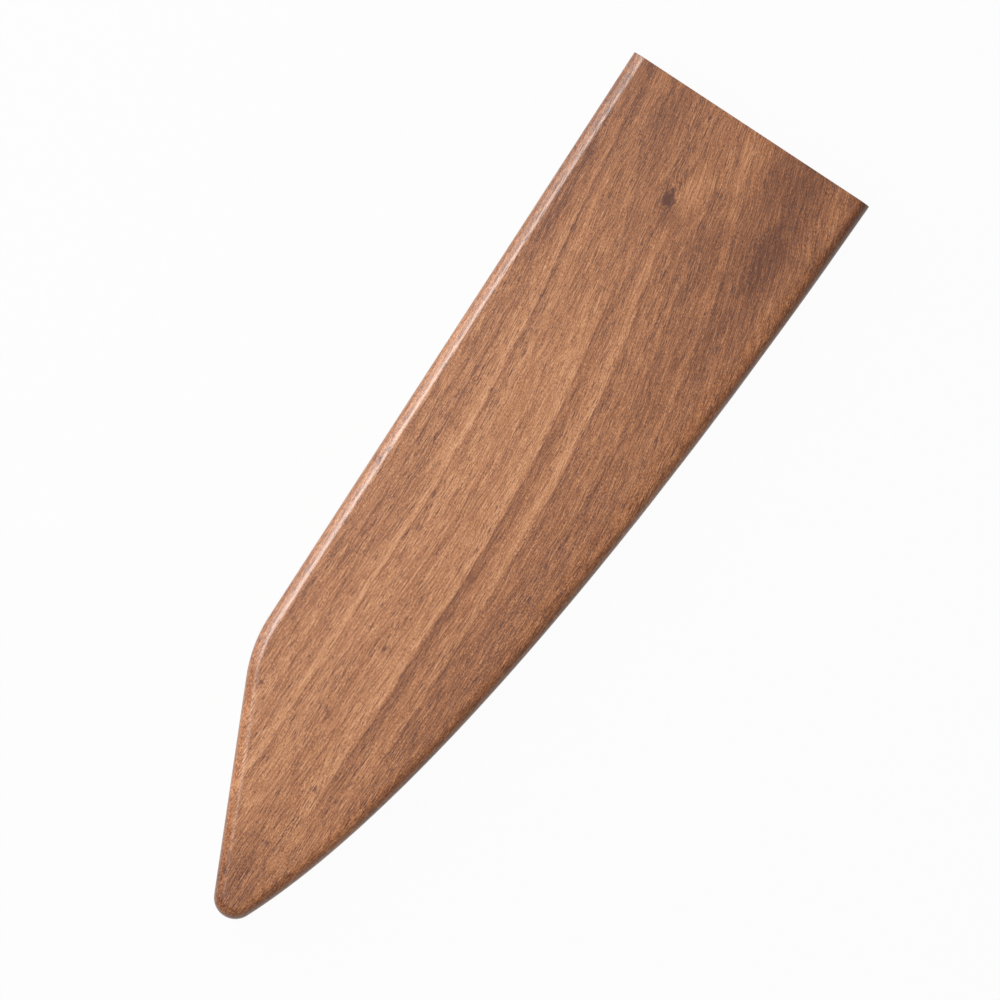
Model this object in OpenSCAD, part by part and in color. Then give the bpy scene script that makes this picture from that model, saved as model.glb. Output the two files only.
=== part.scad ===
// Slip-on wooden guard for a chef's knife with a clipped tip.
// Two walnut shells are glued face to face round a felt-lined blade pocket,
// and three disc magnets in each shell hold the blade by its flanks.
// The guard lies on its back face. +X points out of the mouth, the way the
// blade leaves, +Y points to the spine and +Z comes out of the front face.

/* [Outline] */
// Length from the mouth to the toe
guard_length = 220; // [170:5:280]
// Width across the mouth
mouth_width = 65.3; // [52:0.1:80]
// Angle at which the spine falls towards the toe
spine_fall = 0.45; // [0:0.05:2]
// Length of the clipped corner, measured back from the toe
clip_length = 56.2; // [40:0.2:75]
// Angle of the clip
clip_angle = 25; // [18:0.5:32]
// Radius that blends the spine into the clip
clip_blend_r = 35; // [15:1:60]
// Radius of the toe
toe_r = 5; // [4:0.5:8]
// Angle at which the belly leaves the mouth
heel_angle = 1.45; // [0:0.05:4]
// Angle at which the belly sweeps up into the toe
sweep_angle = 24.2; // [18:0.2:32]
// Length over which the belly stays nearly straight at the mouth
heel_reach = 76; // [40:1:100]
// Length over which the belly sweeps up to the toe
sweep_reach = 51.6; // [30:0.2:75]

/* [Shells] */
// Thickness of one shell
shell_t = 8; // [7:0.5:12]
// Round-over along the spine, the clip, the toe and the belly
edge_r = 3; // [1:0.25:3.5]
// Wood left round the blade pocket
side_wall = 7.5; // [5:0.5:10]

/* [Blade pocket] */
// Depth milled into each shell
pocket_depth = 3; // [2.5:0.1:4]
// Radius of the milling cutter, which rounds the end of the pocket
cutter_r = 2; // [1:0.25:3]
// Lead-in cut on the floor of the pocket at the mouth
mouth_lead = 0.8; // [0.4:0.1:1.5]

/* [Felt lining] */
// Thickness of the felt
felt_t = 0.8; // [0.5:0.1:1.2]
// Clearance between the felt and the sides of the pocket
felt_side_gap = 0.3; // [0.1:0.1:0.8]
// Distance from the mouth to the felt
felt_setback = 2; // [1.5:0.5:6]

/* [Magnets] */
// Diameter of a magnet
magnet_d = 8; // [5:0.5:12]
// Thickness of a magnet
magnet_t = 2; // [1:0.25:3]
// Clearance round a magnet in its seat
magnet_gap = 0.05; // [0.02:0.01:0.15]
// Distance from the mouth to the middle of the heel magnet
magnet_heel_in = 34; // [20:1:50]
// Distance from the start of the clip back to the middle of the toe magnet
magnet_toe_in = 20; // [10:1:30]
// Distance from the pocket's spine side to the middle of each magnet
magnet_drop = 14; // [8:1:20]

/* [Hidden] */

// How far a cut runs past the face that it opens
overrun = 1;
// Facet steps over the round-over, round the clip blend and the toe, and along the belly
round_steps = 7;
blend_steps = 12;
toe_steps = 18;
belly_steps = 56;
// Halvings that find where a drawn-in toe arc leaves the belly
toe_halvings = 24;

walnut = [0.62, 0.43, 0.31];
felt = [0.24, 0.22, 0.21];
nickel = [0.78, 0.78, 0.76];

pocket_floor = shell_t - pocket_depth;
magnet_seat_d = magnet_d + 2 * magnet_gap;
clip_start = guard_length - clip_length;
magnet_toe_at = clip_start - magnet_toe_in;
magnet_places = [magnet_heel_in, (magnet_heel_in + magnet_toe_at) / 2, magnet_toe_at];

// The outline lies in [u, v]: u runs from the mouth to the toe, and v from the
// spine corner of the mouth down to the belly. This turns a point into [x, y].
function to_frame(p) = [guard_length / 2 - p[0], mouth_width / 2 - p[1]];

// Direction that falls or climbs at an angle, and the same turned a quarter inwards
function along(angle) = [cos(angle), sin(angle)];
function across(direction) = [-direction[1], direction[0]];

// The corner where the spine and the clip would meet, and the arc that blends them
corner = [clip_start, clip_start * tan(spine_fall)];
blend_turn = clip_angle - spine_fall;
blend_centre = corner - clip_blend_r * tan(blend_turn / 2) * along(spine_fall)
    + clip_blend_r * across(along(spine_fall));

// The toe arc touches the clip line and reaches the guard's full length
toe_u = guard_length - toe_r;
toe_centre = [toe_u, corner[1] + (toe_u - corner[0]) * tan(clip_angle) + toe_r / cos(clip_angle)];

// The belly is one cubic curve from the toe arc to the mouth, along both tangents
belly_toe = toe_centre - toe_r * across(-along(-sweep_angle));
belly_heel = [0, mouth_width];
belly_toe_handle = belly_toe - sweep_reach * along(-sweep_angle);
belly_heel_handle = belly_heel + heel_reach * along(-heel_angle);

function belly_point(t) =
    pow(1 - t, 3) * belly_toe + 3 * t * pow(1 - t, 2) * belly_toe_handle
    + 3 * t * t * (1 - t) * belly_heel_handle + pow(t, 3) * belly_heel;

function belly_direction(t) =
    let (d = pow(1 - t, 2) * (belly_toe_handle - belly_toe)
        + 2 * t * (1 - t) * (belly_heel_handle - belly_toe_handle)
        + t * t * (belly_heel - belly_heel_handle))
    d / norm(d);

// The belly drawn in by a distance, square to itself
function belly_inside(t, inset) = belly_point(t) + inset * across(belly_direction(t));

// How far a point lies inside the clip line
function inside_clip(p) = (p - corner) * across(along(clip_angle));

// Place on the belly where an arc stays at the same reach from belly and clip
function toe_place(reach, low = 0, high = 1, left = toe_halvings) =
    left == 0 ? high :
    let (middle = (low + high) / 2)
    inside_clip(belly_inside(middle, reach)) < reach
        ? toe_place(reach, middle, high, left - 1)
        : toe_place(reach, low, middle, left - 1);

// Point on an arc, where angle 0 faces the spine and 90 the toe
function arc_point(centre, r, angle) = centre + r * [sin(angle), -cos(angle)];

// The guard's outline drawn in all round by an inset, with its own toe radius,
// and cut off square at a distance from the mouth. It runs along the spine,
// the clip blend, the clip and the toe, and back along the belly.
function outline(inset, r, start) =
    let (
        place = toe_place(inset + r),
        centre = belly_inside(place, inset + r),
        square_to_belly = across(belly_direction(place)),
        arc_end = atan2(-square_to_belly[0], square_to_belly[1]),
        spine_v = inset / cos(spine_fall) + start * tan(spine_fall),
        heel_v = mouth_width - inset / cos(heel_angle) - start * tan(heel_angle)
    )
    concat(
        [[start, spine_v]],
        [for (i = [0 : blend_steps])
            arc_point(blend_centre, clip_blend_r - inset, spine_fall + blend_turn * i / blend_steps)],
        [for (i = [0 : toe_steps - 1])
            arc_point(centre, r, clip_angle + (arc_end - clip_angle) * i / toe_steps)],
        [for (i = [0 : belly_steps])
            let (p = belly_inside(place + (1 - place) * i / belly_steps, inset))
            if (p[0] > start) p],
        [[start, heel_v]]
    );

// One ring of a shell's loft: how far it is drawn in and how high it lies
function ring(drawn_in, z) =
    [for (p = outline(drawn_in, toe_r - drawn_in, 0)) concat(to_frame(p), z)];

// Solid shell before milling. It lies on its outer face, rounded over on every
// edge but the sawn mouth, with its glue face up.
module shell_blank() {
    rings = concat(
        [for (i = [0 : round_steps])
            let (a = 90 * i / round_steps)
            ring(edge_r * (1 - sin(a)), edge_r * (1 - cos(a)))],
        [ring(0, shell_t)]
    );
    n = len(rings[0]);
    top = len(rings) - 1;
    points = [for (r = rings) for (p = r) p];
    sides = [for (k = [0 : top - 1]) for (i = [0 : n - 1])
        let (a = k * n + i, b = k * n + (i + 1) % n)
        for (f = [[a, a + n, b + n], [a, b + n, b]]) f];
    outer_face = [for (i = [0 : n - 1]) i];
    glue_face = [for (i = [n - 1 : -1 : 0]) top * n + i];
    polyhedron(points, concat([outer_face, glue_face], sides));
}

// The pocket's outline, cut from a height up through the glue face and the mouth
module pocket_cut(from_z) {
    translate([0, 0, from_z])
        linear_extrude(shell_t + overrun - from_z)
            polygon([for (p = outline(side_wall, cutter_r, -overrun)) to_frame(p)]);
}

// Wedge that slopes the pocket's floor down to the mouth
module mouth_wedge() {
    mouth_x = to_frame([0, 0])[0];
    reach = mouth_lead + overrun;
    translate([mouth_x + overrun, mouth_width / 2, pocket_floor])
        rotate([90, 0, 0])
            linear_extrude(mouth_width)
                polygon([[0, 0], [-reach, 0], [0, -reach]]);
}

// Blade pocket with its lead-in at the mouth
module blade_pocket() {
    pocket_cut(pocket_floor);
    intersection() {
        pocket_cut(pocket_floor - mouth_lead - overrun);
        mouth_wedge();
    }
}

// Puts what follows at one magnet's place, on the bottom of its seat
module at_magnet(place) {
    p = to_frame([place, side_wall + magnet_drop]);
    translate([p[0], p[1], pocket_floor - magnet_t])
        children();
}

module shell() {
    color(walnut)
        difference() {
            shell_blank();
            blade_pocket();
            for (place = magnet_places)
                at_magnet(place)
                    cylinder(d = magnet_seat_d, h = magnet_t + overrun, $fn = 48);
        }
}

// Felt glued to the pocket's floor, over the magnets
module lining() {
    felt_edge = outline(side_wall + felt_side_gap, cutter_r - felt_side_gap, felt_setback);
    color(felt)
        translate([0, 0, pocket_floor])
            linear_extrude(felt_t)
                polygon([for (p = felt_edge) to_frame(p)]);
}

module magnet(place) {
    color(nickel)
        at_magnet(place)
            cylinder(d = magnet_d, h = magnet_t, $fn = 48);
}

// Turns a piece of the back shell into its twin in the front shell
module front() {
    translate([0, 0, 2 * shell_t])
        mirror([0, 0, 1])
            children();
}

front() shell();  // front_shell
shell();  // back_shell
front() lining();  // front_lining
lining();  // back_lining
front() magnet(magnet_places[0]);  // front_magnet_heel
front() magnet(magnet_places[1]);  // front_magnet_middle
front() magnet(magnet_places[2]);  // front_magnet_toe
magnet(magnet_places[0]);  // back_magnet_heel
magnet(magnet_places[1]);  // back_magnet_middle
magnet(magnet_places[2]);  // back_magnet_toe
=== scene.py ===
# %% [markdown]
# # A walnut guard for a chef's knife
# The guard is two walnut shells glued round a felt-lined slot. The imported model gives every
# piece its size and place, in metres, with the guard lying on its back face. This script
# gives the pieces their surfaces, and adds a camera, two lamps and a table to lie on.

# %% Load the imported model
import math
import bmesh
import bpy
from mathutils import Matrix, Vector


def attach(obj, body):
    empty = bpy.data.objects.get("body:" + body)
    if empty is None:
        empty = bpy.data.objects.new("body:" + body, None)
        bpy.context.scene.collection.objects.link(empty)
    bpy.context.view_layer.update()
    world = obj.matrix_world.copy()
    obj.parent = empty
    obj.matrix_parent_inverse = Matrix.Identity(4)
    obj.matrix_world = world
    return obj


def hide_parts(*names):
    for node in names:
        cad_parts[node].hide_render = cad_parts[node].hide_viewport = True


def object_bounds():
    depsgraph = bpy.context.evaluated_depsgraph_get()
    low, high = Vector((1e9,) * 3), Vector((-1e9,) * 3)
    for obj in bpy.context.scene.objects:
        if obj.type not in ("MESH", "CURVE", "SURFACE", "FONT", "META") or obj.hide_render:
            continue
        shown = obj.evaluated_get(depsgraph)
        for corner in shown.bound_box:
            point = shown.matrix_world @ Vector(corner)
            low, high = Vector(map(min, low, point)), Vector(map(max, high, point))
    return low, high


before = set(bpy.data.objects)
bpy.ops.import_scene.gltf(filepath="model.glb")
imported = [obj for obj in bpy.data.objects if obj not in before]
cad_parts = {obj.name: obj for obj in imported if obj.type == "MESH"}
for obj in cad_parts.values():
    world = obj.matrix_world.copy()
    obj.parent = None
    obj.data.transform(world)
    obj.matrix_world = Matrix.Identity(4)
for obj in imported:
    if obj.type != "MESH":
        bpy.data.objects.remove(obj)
cad_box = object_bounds()
MM = 0.001
low, high = cad_box
FACE_Z = high.z / MM
SEAM_Z = (low.z + high.z) / 2 / MM
print("guard", [round(side / MM, 1) for side in high - low], "mm, seam at", round(SEAM_Z, 1))

# %% [markdown]
# ## A way to write shader maths
# A wood finish is a long sum of masks and noises. Wiring each Math node by hand hides that
# sum, so one small class wraps a socket and turns Python's operators into nodes. Numbers on
# their own stay in Python. Any other node comes from the one function `node`, which sets the
# node's own settings first and then the values or links of its sockets.


# %% The socket wrapper
class Wire:
    """A shader socket that can be added, multiplied and compared like a number."""

    def __init__(self, tree, socket):
        self.tree = tree
        self.socket = socket

    def math(self, operation, *others):
        return node(self.tree, "ShaderNodeMath", {"operation": operation}, [self, *others])

    def __add__(self, other):
        return self.math("ADD", other)

    def __sub__(self, other):
        return self.math("SUBTRACT", other)

    def __rsub__(self, other):
        return node(self.tree, "ShaderNodeMath", {"operation": "SUBTRACT"}, [other, self])

    def __mul__(self, other):
        return self.math("MULTIPLY", other)

    def __truediv__(self, other):
        return self.math("DIVIDE", other)

    __radd__ = __add__
    __rmul__ = __mul__

    def size(self):
        return self.math("ABSOLUTE")

    def step(self, start, end):
        """0 below start, 1 above end and smooth between."""
        return node(self.tree, "ShaderNodeMapRange", {"interpolation_type": "SMOOTHSTEP"},
                    {"Value": self, "From Min": start, "From Max": end})


def node(tree, kind, settings=None, sockets=None, output=0):
    """Any node: its settings first, then the values or links of its sockets."""
    made = tree.nodes.new(kind)
    for name, value in (settings or {}).items():
        if name == "stops":
            fill_ramp(made.color_ramp, value)
        else:
            setattr(made, name, value)
    pairs = sockets.items() if isinstance(sockets, dict) else enumerate(sockets or [])
    for key, value in pairs:
        if isinstance(value, Wire):
            tree.links.new(value.socket, made.inputs[key])
        else:
            made.inputs[key].default_value = value
    return Wire(tree, made.outputs[output])


def fill_ramp(ramp, stops):
    """Sets a colour ramp's stops, each a place from 0 to 1 and a colour."""
    while len(ramp.elements) < len(stops):
        ramp.elements.new(1.0)
    for element, (place, colour) in zip(ramp.elements, stops):
        element.position = place
        element.color = colour


print("socket wrapper ready")

# %% [markdown]
# ## Colours, places and noise
# Colours are easiest to pick from 0 to 255, as a screen shows them, but a renderer counts
# light in linear steps, so `paint` converts them. Patterns are laid out in millimetres on
# the piece itself, because a real grain or fibre has a real size.


# %% Helpers for materials
def paint(red, green, blue):
    """A colour given from 0 to 255, as the renderer's linear values."""
    def linear(value):
        share = value / 255
        return share / 12.92 if share <= 0.04045 else ((share + 0.055) / 1.055) ** 2.4
    return (linear(red), linear(green), linear(blue), 1.0)


def new_material(name):
    """An empty material with a Principled shader, and its tree and shader."""
    material = bpy.data.materials.new(name)
    material.use_nodes = True
    tree = material.node_tree
    return material, tree, tree.nodes["Principled BSDF"]


def split(vector):
    """The three parts of a vector as wires."""
    parts = vector.tree.nodes.new("ShaderNodeSeparateXYZ")
    vector.tree.links.new(vector.socket, parts.inputs[0])
    return [Wire(vector.tree, out) for out in parts.outputs]


def millimetres(tree, shift=(0, 0, 0)):
    """The piece's own coordinates as three wires in millimetres, moved by a shift."""
    place = node(tree, "ShaderNodeTexCoord", output=3)
    return split(node(tree, "ShaderNodeMapping", {}, {
        "Vector": place, "Location": shift, "Scale": (1 / MM, 1 / MM, 1 / MM)}))


def noise(tree, x, y, z, detail=2.0, roughness=0.5):
    """Smooth noise between -0.5 and 0.5. The three wires already hold its scale."""
    place = node(tree, "ShaderNodeCombineXYZ", {}, [x, y, z])
    return node(tree, "ShaderNodeTexNoise", {"normalize": True}, {
        "Vector": place, "Scale": 1.0, "Detail": detail, "Roughness": roughness}) - 0.5


print("material helpers ready")

# %% [markdown]
# ## Walnut: which way the grain runs
# The plank was sawn beside a knot. Its growth rings lie level along the toe half, climb
# towards the mouth and curl there, and part round the knot. Bending a picture of straight
# grain would smear it, so the bend goes into a grain coordinate instead: the height across
# the plank with the climb taken off. One value of it follows one growth ring. The rings
# spread apart towards the belly's heel while the fibres keep their thickness, so broad bands
# are drawn along the ring height, and streaks and pores along a fibre height.

# %% The grain coordinate
CLIMB_START = -20.0
CLIMB_RATE = 0.0009
CLIMB_LEVEL = 20.0
CLIMB_FAN = 0.027
CALM_BELLY = (-48.0, 8.0)
CURL_STARTS = (60, 110)
CURL_SIZE = 4.0
WAVER_SIZE = 2.4
KNOT = (85.6, 7.2)
KNOT_TILT = 0.15
KNOT_SQUEEZE = 0.5
KNOT_REACH = 8.0
KNOT_PUSH = 1.3
RING_LEAN = 0.35


def grain_heights(tree, x, y, z):
    """Heights across the plank's rings and across its fibres, in millimetres."""
    run = (x - CLIMB_START).math("MAXIMUM", 0)
    fan = 1 + (CLIMB_LEVEL - y) * CLIMB_FAN
    climb = run * run * CLIMB_RATE * fan
    waver = noise(tree, x * 0.02, y * 0.06, z * 0.06) * WAVER_SIZE
    curl = noise(tree, x * 0.09, y * 0.12, z * 0.1) * x.step(*CURL_STARTS) * CURL_SIZE
    level = y + (z - FACE_Z) * RING_LEAN + waver
    return level + curl * 0.5 - climb * y.step(*CALM_BELLY), level + curl - climb


def knot_distance(x, y):
    """Distance from the knot, which is longer along the grain, and the height above it."""
    from_x = x - KNOT[0]
    from_y = y - KNOT[1] - from_x * KNOT_TILT
    return (from_x * from_x * KNOT_SQUEEZE + from_y * from_y).math("SQRT"), from_y


print("the grain climbs", round((KNOT[0] - CLIMB_START) ** 2 * CLIMB_RATE, 1), "mm by the knot")

# %% [markdown]
# ## Walnut: growth rings
# A ring isn't a stripe with two soft edges. The pale early wood turns darker little by
# little, ends in a thin dark line and starts again pale. Noise alone never gives that edge,
# so the clear rings are placed one by one, and noise makes them come and go.

# %% Placed rings
# Grain height, where the edge starts and ends along the guard, how deep the line, the shade
# below it and the glow above it are, and how far the shade and the glow reach
RINGS = [
    (28.0, -52, 30, 0.10, 0.05, 0.03, 2.0, 1.2),
    (25.0, -62, 45, 0.13, 0.05, 0.05, 2.0, 1.2),
    (21.4, -68, 92, 0.16, 0.08, 0.05, 2.4, 1.5),
    (15.3, -84, 106, 0.20, 0.09, 0.13, 3.0, 2.6),
    (7.4, -90, 14, 0.09, 0.07, 0.05, 3.5, 1.6),
    (-1.9, -78, 58, 0.20, 0.15, 0.13, 4.2, 5.2),
    (-9.4, -62, 84, 0.16, 0.10, 0.10, 6.5, 4.0),
    (-17.0, 6, 100, 0.12, 0.06, 0.07, 4.0, 2.6),
    (-24.0, 30, 112, 0.12, 0.07, 0.05, 4.0, 2.6),
]
RING_END = 10.0

# Where the line, the shade below it and the glow above it set in, and where they let go
LINE_STARTS = (-0.15, 0.08)
LINE_ENDS = (0.15, 0.60)
SHADE_STARTS = (-0.15, 0.50)
SHADE_HOLDS = 0.60
GLOW_STARTS = (0.10, 0.80)
GLOW_HOLDS = 0.90


def ring_tone(grain, x, patchy, rings):
    """Palest above each ring's edge and darkest just below it."""
    total = 0
    for height, start, end, line, shade, glow, shade_reach, glow_reach in rings:
        above = grain - height
        below = height - grain
        starts = x.step(start - RING_END, start + RING_END)
        ends = x.step(end - RING_END, end + RING_END)
        edge = below.step(*LINE_STARTS) * (1 - below.step(*LINE_ENDS)) * line
        dark = below.step(*SHADE_STARTS) * (1 - below.step(SHADE_HOLDS, shade_reach)) * shade
        pale = above.step(*GLOW_STARTS) * (1 - above.step(GLOW_HOLDS, glow_reach)) * glow
        total = total + (pale - edge * patchy - dark) * starts * (1 - ends)
    return total


print(len(RINGS), "growth rings placed")

# %% [markdown]
# ## Walnut: smudges and the knot
# Round a knot the wood stores more colour, in smudges with no clear edge. Each is a soft
# ellipse whose distance is roughened by noise, so that no outline shows. The same sum
# darkens the heel, the toe and the belly side.

# %% Placed smudges
# Place along and across the guard, half length, half height, and how much it lightens
SMUDGES = [
    (86, -19, 12, 5, -0.16),
    (104, -14, 9, 8, -0.10),
    (62, -17, 14, 5, -0.06),
    (80, -8, 11, 8, -0.07),
    (101, 17, 12, 6, -0.08),
    (72, 28, 26, 3, -0.08),
    (106, 27, 14, 4, -0.12),
    (91, 3, 8, 4, 0.14),
    (102, -4, 10, 7, 0.07),
    (84, -27, 34, 4, 0.12),
    (104, -26, 11, 6, 0.08),
    (81.5, 5.2, 6, 1.8, -0.14),
    (91, 6.6, 5, 1.2, -0.10),
]

# Stretches over which the belly's, the heel's and the toe's shade change, and how deep they are
BELLY_STRETCH = (-22, 0)
BELLY_SHADE = 0.21
HEEL_STRETCH = (25, 100)
HEEL_SHADE = 0.19
TOE_STRETCH = (-106, -80)
TOE_SHADE = 0.21
HEART_SHADE = 0.55
HALO_SHADE = 0.10


def smudge_tone(tree, x, y, z):
    """The sum of the smudges and of the broad shading of the plank."""
    ragged = noise(tree, x * 0.22, y * 0.40, z * 0.3, 3.0, 0.6) * 1.3
    belly = 1 - y.step(*BELLY_STRETCH)
    heel = x.step(*HEEL_STRETCH)
    toe = 1 - x.step(*TOE_STRETCH)
    total = belly * -BELLY_SHADE - heel * HEEL_SHADE - toe * TOE_SHADE
    for across, up, half_length, half_height, lift in SMUDGES:
        far_x = (x - across) * (1 / half_length)
        far_y = (y - up) * (1 / half_height)
        far = far_x * far_x + far_y * far_y + ragged
        total = total + (1 - far.step(0, 1)) * lift
    return total


def knot_tone(tree, x, y, z, far):
    """A small dark heart with ragged sides in a faint dark halo."""
    ragged = noise(tree, x * 0.6, y * 0.7, z * 0.7, 3.0, 0.6) * 2.0
    heart = 1 - (far + ragged).step(0.5, 1.8)
    halo = 1 - (far + ragged).step(0.6, 5.0)
    return heart * -HEART_SHADE - halo * HALO_SHADE


print(len(SMUDGES), "smudges placed")

# %% [markdown]
# ## Walnut: from bands to pores
# Finer than the rings come noises stretched along the grain, each about a third of the
# size of the one before, and last a grit as fine as the thinnest lines but hardly stretched.
# Walnut's pores are open vessels cut lengthwise: dark dashes that crowd together in some
# bands. They are deep enough to feel, so they make most of the relief. Oil sinks deepest
# into sanded edges and end grain, and the darkening of every surface that tilts away from
# level is also painted shade on the rounded edges and sides. The glue line shows as a hair line.

# %% The walnut material
WALNUT_TONES = [
    (0.00, paint(95, 44, 14)),
    (0.25, paint(133, 77, 39)),
    (0.50, paint(170, 107, 64)),
    (0.62, paint(187, 123, 78)),
    (0.87, paint(214, 152, 104)),
    (1.00, paint(226, 167, 123)),
]
PLAIN_TONE = 0.55
FACE_TONE = 0.59
BACK_SHIFT = (37, 11, 40)

# How much each noise counts in the tone, from broad bands to grit
BROAD_SHARE = 0.34
BANDS_SHARE = 0.30
STREAKS_SHARE = 0.28
LINES_SHARE = 1.00
GRIT_SHARE = 1.15

# How far pores, edges and the glue line darken the tone and flecks lighten it
PORE_SHADE = 0.42
FLECK_GLOW = 0.26
# Edges darken from oil soaked into their sanded grain, and from painted shade where they tilt
# away from level
EDGE_OIL_AND_PAINTED_SHADE = 0.06
GLUE_SHADE = 0.30
GLUE_HALF = (0.03, 0.10)

# How far sanding closes the pores on an edge, and the relief of what stays open
SANDED_SHUT = 0.6
FIBRE_RELIEF = 0.25
PORE_DEPTH = 0.12 * MM
OIL_ROUGHNESS = 0.34


def walnut(name, shift, placed):
    """Oiled walnut. A shift moves to another part of the plank, which has no placed marks."""
    material, tree, shader = new_material(name)
    x, y, z = millimetres(tree, shift)
    grain, fibre = grain_heights(tree, x, y, z)
    tone = FACE_TONE if placed else PLAIN_TONE
    if placed:
        far, from_y = knot_distance(x, y)
        part = from_y / (from_y.size() + 1.0) * (1 - far.step(0, KNOT_REACH)) * KNOT_PUSH
        grain = grain - part
        fibre = fibre - part
        patchy = noise(tree, x * 0.06, grain * 0.2, z * 0.2) * 1.8 + 0.9
        tone = (tone + ring_tone(grain, x, patchy, RINGS) + smudge_tone(tree, x, y, z)
                + knot_tone(tree, x, y, z, far))
    waved = fibre + noise(tree, x * 0.07, fibre * 0.25, z * 0.1, 1.0) * 1.2

    # From broad bands to grit
    broad = noise(tree, x * 0.007, grain * 0.11, z * 0.05, 1.5)
    bands = noise(tree, x * 0.012, grain * 0.42, z * 0.3 + 7, 2.0, 0.55)
    streaks = noise(tree, x * 0.05, waved * 1.3, z * 0.9 + 3, 2.0, 0.8)
    lines = noise(tree, x * 0.26, waved * 3.9, z * 3.4, 1.0)
    grit = noise(tree, x * 1.80 + 5, waved * 4.4, z * 4.0, 1.0)
    tone = tone + broad * BROAD_SHARE + bands * BANDS_SHARE + streaks * STREAKS_SHARE
    tone = tone + lines * LINES_SHARE + grit * GRIT_SHARE

    # Pores crowd together in some bands, and sanding closes them on the edges
    crowd = noise(tree, x * 0.03, grain * 0.45, z * 0.4 + 20)
    pore_noise = noise(tree, x * 0.36, waved * 3.8, z * 3.5, 1.0, 0.4)
    facing = split(node(tree, "ShaderNodeTexCoord", output=1))[2].size()
    turned = 1 - facing.step(0.85, 0.995)
    pores = (pore_noise + crowd * 0.45).step(0.13, 0.20) * (1 - turned * SANDED_SHUT)
    flecks = noise(tree, x * 0.45 + 31, waved * 4.2, z * 3.8 + 9, 1.0, 0.4).step(0.12, 0.24)
    tone = tone - pores * PORE_SHADE + flecks * FLECK_GLOW

    # Edges and end grain drink more oil, and the glue line crosses them.
    # The darkening of surfaces that tilt away from level is also painted shade on the rounded
    # edges.
    glue = 1 - (z - (SEAM_Z + shift[2])).size().step(*GLUE_HALF)
    tone = tone - turned * EDGE_OIL_AND_PAINTED_SHADE - turned * glue * GLUE_SHADE

    colour = node(tree, "ShaderNodeValToRGB", {"stops": WALNUT_TONES}, {"Fac": tone})
    relief = lines * FIBRE_RELIEF + grit * FIBRE_RELIEF - pores
    bump = node(tree, "ShaderNodeBump", {}, {
        "Strength": 0.3, "Distance": PORE_DEPTH, "Height": relief})
    tree.links.new(colour.socket, shader.inputs["Base Color"])
    tree.links.new((OIL_ROUGHNESS + pores * 0.2 + grit * 0.1).socket, shader.inputs["Roughness"])
    tree.links.new(bump.socket, shader.inputs["Normal"])
    shader.inputs["Coat Weight"].default_value = 0.85
    shader.inputs["Coat Roughness"].default_value = 0.28
    return material


front_walnut = walnut("walnut_front", (0, 0, 0), True)
back_walnut = walnut("walnut_back", BACK_SHIFT, False)
print("walnut nodes", len(front_walnut.node_tree.nodes))

# %% [markdown]
# ## The shells
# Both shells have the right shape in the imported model, as loose triangles with flat shading.
# A merged copy of each can be shaded smooth over the round-over while its corners stay crisp.
# A tiny bevel breaks the corners that a hand would feel, as sandpaper does. The edges in the
# seam stay sharp, because the shells were glued first and sanded flush afterwards.

# %% Copies of CAD pieces
CORNER = math.radians(40)
CREASE = math.radians(30)
FLAT = math.radians(0.5)
WELD = 0.002 * MM


def merged_copy(cad_name):
    """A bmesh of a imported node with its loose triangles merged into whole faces."""
    solid = bmesh.new()
    solid.from_mesh(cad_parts[cad_name].data)
    bmesh.ops.remove_doubles(solid, verts=solid.verts, dist=WELD)
    bmesh.ops.dissolve_limit(solid, angle_limit=FLAT, verts=solid.verts, edges=solid.edges)
    return solid


def ease(solid, edges, width):
    """Rounds edges over by a small width."""
    bmesh.ops.bevel(solid, geom=edges, offset=width, offset_type="OFFSET", segments=2,
                    profile=0.5, affect="EDGES", material=-1, clamp_overlap=True)


def finished(name, solid, material, cad_name):
    """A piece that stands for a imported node, shaded smooth between its creases."""
    for face in solid.faces:
        face.smooth = True
    for edge in solid.edges:
        edge.smooth = edge.calc_face_angle(0) < CREASE
    mesh = bpy.data.meshes.new(name)
    solid.to_mesh(mesh)
    solid.free()
    mesh.materials.append(material)
    piece = bpy.data.objects.new(name, mesh)
    bpy.context.scene.collection.objects.link(piece)
    weighted = piece.modifiers.new("flat faces lead", "WEIGHTED_NORMAL")
    weighted.keep_sharp = True
    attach(piece, "root")
    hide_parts(cad_name)
    print(name, len(mesh.polygons), "faces")
    return piece


# %% Shells with eased corners
ARRIS = 0.18 * MM


def in_seam(edge):
    """Whether both ends of an edge lie in the glued seam."""
    return all(abs(vert.co.z - SEAM_Z * MM) < WELD for vert in edge.verts)


def shell_piece(name, cad_name, material):
    """A shell with every sharp corner eased except the glued seam."""
    solid = merged_copy(cad_name)
    corners = [e for e in solid.edges if e.calc_face_angle(0) > CORNER and not in_seam(e)]
    ease(solid, corners, ARRIS)
    return finished(name, solid, material, cad_name)


shell_piece("walnut_front_shell", "front_shell", front_walnut)
shell_piece("walnut_back_shell", "back_shell", back_walnut)

# %% [markdown]
# ## Felt
# Pressed wool felt has no weave: it is a mat of fibres, so two noises at fibre size, one in
# the colour and one in the bump, say all of it. The felt is glued down and lies flat.

# %% Felt linings
FELT_EDGE = 0.2 * MM


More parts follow.
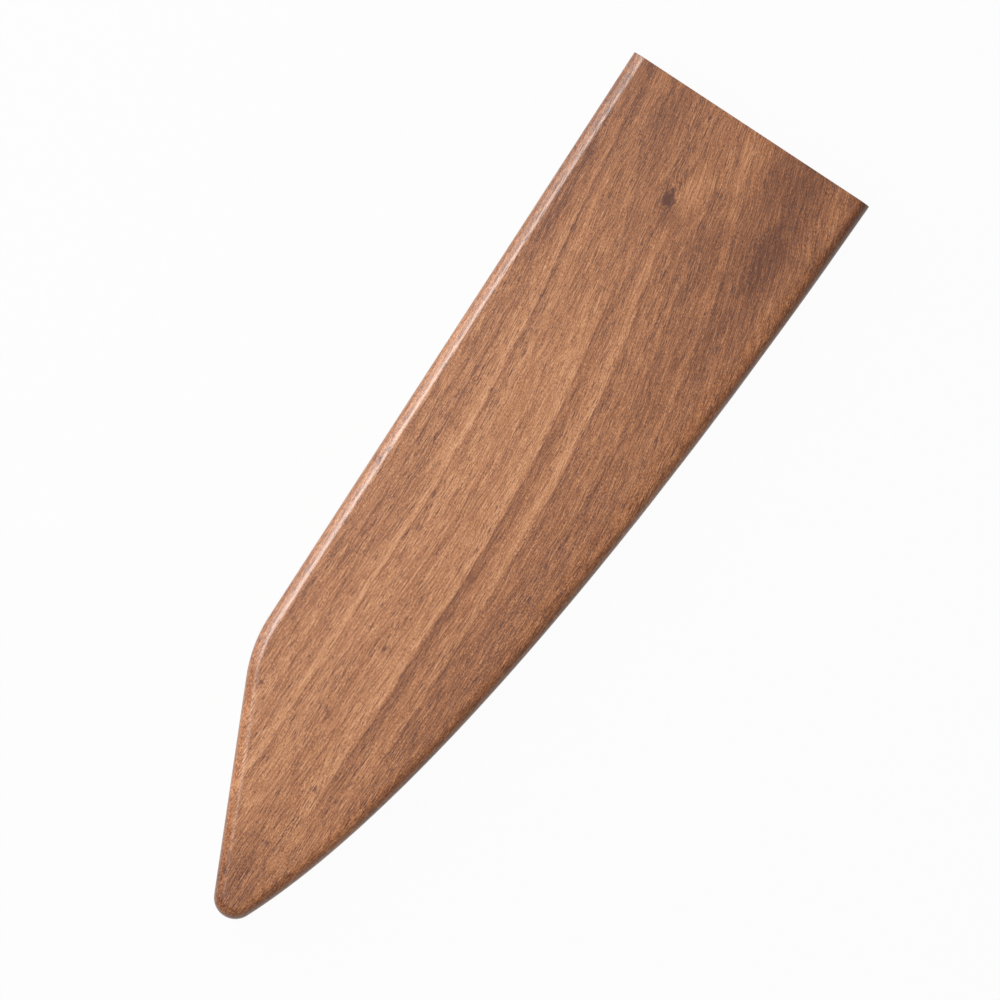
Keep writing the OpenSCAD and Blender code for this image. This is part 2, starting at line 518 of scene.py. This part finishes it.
def felt_material():
    """Dark grey wool felt."""
    material, tree, shader = new_material("wool_felt")
    x, y, z = millimetres(tree)
    fibres = noise(tree, x * 2.2, y * 2.2, z * 2.2, 4.0, 0.7)
    patches = noise(tree, x * 0.12, y * 0.12, z * 0.12)
    colour = node(tree, "ShaderNodeValToRGB", {"stops": [
        (0.30, paint(38, 35, 33)),
        (0.70, paint(84, 79, 75)),
    ]}, {"Fac": 0.5 + fibres * 0.8 + patches * 0.2})
    bump = node(tree, "ShaderNodeBump", {}, {
        "Strength": 0.6, "Distance": 0.3 * MM, "Height": fibres})
    tree.links.new(colour.socket, shader.inputs["Base Color"])
    tree.links.new(bump.socket, shader.inputs["Normal"])
    shader.inputs["Roughness"].default_value = 0.95
    shader.inputs["Sheen Weight"].default_value = 0.4
    return material


def felt_piece(name, cad_name, material):
    """A felt sheet with softly rounded edges, glued to a pocket's floor."""
    solid = merged_copy(cad_name)
    cut_area = max(face.calc_area() for face in solid.faces)
    ease(solid, [e for e in solid.edges if e.calc_face_angle(0) > CORNER], FELT_EDGE)
    piece = finished(name, solid, material, cad_name)


felt = felt_material()
felt_piece("felt_front", "front_lining", felt)
felt_piece("felt_back", "back_lining", felt)

# %% [markdown]
# ## Magnets
# The discs are nickel plated, and barrel plating leaves them satin with fine random marks.


# %% Nickel for the magnets
def nickel_material():
    """Satin nickel with fine random marks in its gloss."""
    material, tree, shader = new_material("nickel_plate")
    x, y, z = millimetres(tree)
    scuffs = noise(tree, x * 3, y * 3, z * 3, 4.0, 0.6)
    tree.links.new((0.32 + scuffs * 0.25).socket, shader.inputs["Roughness"])
    shader.inputs["Base Color"].default_value = paint(202, 198, 188)
    shader.inputs["Metallic"].default_value = 1.0
    return material


nickel = nickel_material()
magnet_names = [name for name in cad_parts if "magnet" in name]
for name in magnet_names:
    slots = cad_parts[name].data.materials
    slots.clear()
    slots.append(nickel)
print(len(magnet_names), "magnets plated")

# %% [markdown]
# ## Camera
# The photograph looks straight down on the front face, with the mouth turned up and to the
# right. A long lens far above keeps the sides of the guard out of sight. It is aimed at the
# height where the round-over starts, because the outline that it sees lies there.

# %% Camera
MOUTH_TURN = math.radians(56.614)
FRAME_WIDTH = 232.31 * MM
CAMERA_RISE = 1.8
ROUND_OVER = 3 * MM
AIM = Vector((5.95 * MM, 1.48 * MM, high.z - ROUND_OVER))

lens = bpy.data.cameras.new("camera")
lens.sensor_width = 36.0
lens.lens = lens.sensor_width * CAMERA_RISE / FRAME_WIDTH
camera = bpy.data.objects.new("camera", lens)
bpy.context.scene.collection.objects.link(camera)
camera.location = AIM + Vector((0, 0, CAMERA_RISE))
camera.rotation_euler = (0, 0, -MOUTH_TURN)
bpy.context.scene.camera = camera
print("lens", round(lens.lens), "mm")

# %% [markdown]
# ## Light
# A lamp on the spine's side, a third of the way down from overhead, draws the narrow
# highlight along the rounded spine. A wider one stands lower behind it and lifts the rest of
# that edge, and the world fills in the belly's side. Together they light a level surface
# about as brightly as its colour is written. `level_light` works out the share of each.

# %% Lamps and world
LAMP_FAR = 0.9
WORLD_LIGHT = 0.31


def level_light(power, lean):
    """How brightly a lamp lights a level white surface, where 1 is white."""
    return power * math.cos(lean) / (math.pi * LAMP_FAR) ** 2


def soft_lamp(name, lean_degrees, size, power):
    """A square lamp that leans towards the spine's side and faces the guard."""
    lean = math.radians(lean_degrees)
    data = bpy.data.lights.new(name, "AREA")
    data.shape = "SQUARE"
    data.size = size
    data.energy = power
    lamp = bpy.data.objects.new(name, data)
    bpy.context.scene.collection.objects.link(lamp)
    lamp.location = LAMP_FAR * Vector((0, math.sin(lean), math.cos(lean)))
    lamp.rotation_euler = (-lean, 0, 0)
    return level_light(power, lean)


key_share = soft_lamp("key_lamp", lean_degrees=27, size=0.37, power=4.6)
edge_share = soft_lamp("edge_lamp", lean_degrees=68, size=0.65, power=3.8)

world = bpy.data.worlds.new("studio")
bpy.context.scene.world = world
world.use_nodes = True
background = world.node_tree.nodes["Background"]
background.inputs["Color"].default_value = (1, 1, 1, 1)
background.inputs["Strength"].default_value = WORLD_LIGHT
print("light on a level face", round(key_share + edge_share + WORLD_LIGHT, 2))

# %% [markdown]
# ## Table
# The table is white to the camera and pale in reflections. More light would whiten it too,
# but would bleach the guard as well, so it glows for those rays alone. A share of its own
# shading is kept, so that the guard's shadow stays.

# %% Table
TABLE_PAINT = (0.5, 0.5, 0.5, 1)
CAMERA_GLOW = 0.965
MIRROR_GLOW = 0.4
TABLE_HALF = 3.0
TABLE_GAP = 0.02 * MM


def table_material():
    """A pale matt surface that glows for the camera and for mirror rays."""
    material, tree, shader = new_material("white_table")
    shader.inputs["Base Color"].default_value = TABLE_PAINT
    shader.inputs["Roughness"].default_value = 0.9
    path = tree.nodes.new("ShaderNodeLightPath")
    camera_ray = Wire(tree, path.outputs["Is Camera Ray"])
    mirror_ray = Wire(tree, path.outputs["Is Glossy Ray"])
    through_ray = Wire(tree, path.outputs["Is Transmission Ray"])
    glow = (camera_ray + through_ray) * CAMERA_GLOW + mirror_ray * MIRROR_GLOW
    white = node(tree, "ShaderNodeEmission", {}, {"Color": (1, 1, 1, 1), "Strength": 1.0})
    shaded = Wire(tree, shader.outputs[0])
    mixed = node(tree, "ShaderNodeMixShader", {}, [glow, shaded, white])
    tree.links.new(mixed.socket, tree.nodes["Material Output"].inputs["Surface"])
    return material


table_mesh = bpy.data.meshes.new("table")
table_top = bmesh.new()
bmesh.ops.create_grid(table_top, x_segments=1, y_segments=1, size=TABLE_HALF)
bmesh.ops.translate(table_top, verts=table_top.verts, vec=(0, 0, low.z - TABLE_GAP))
table_top.to_mesh(table_mesh)
table_top.free()
table_mesh.materials.append(table_material())
table = bpy.data.objects.new("table", table_mesh)
bpy.context.scene.collection.objects.link(table)
bpy.context.scene.view_settings.view_transform = "Standard"
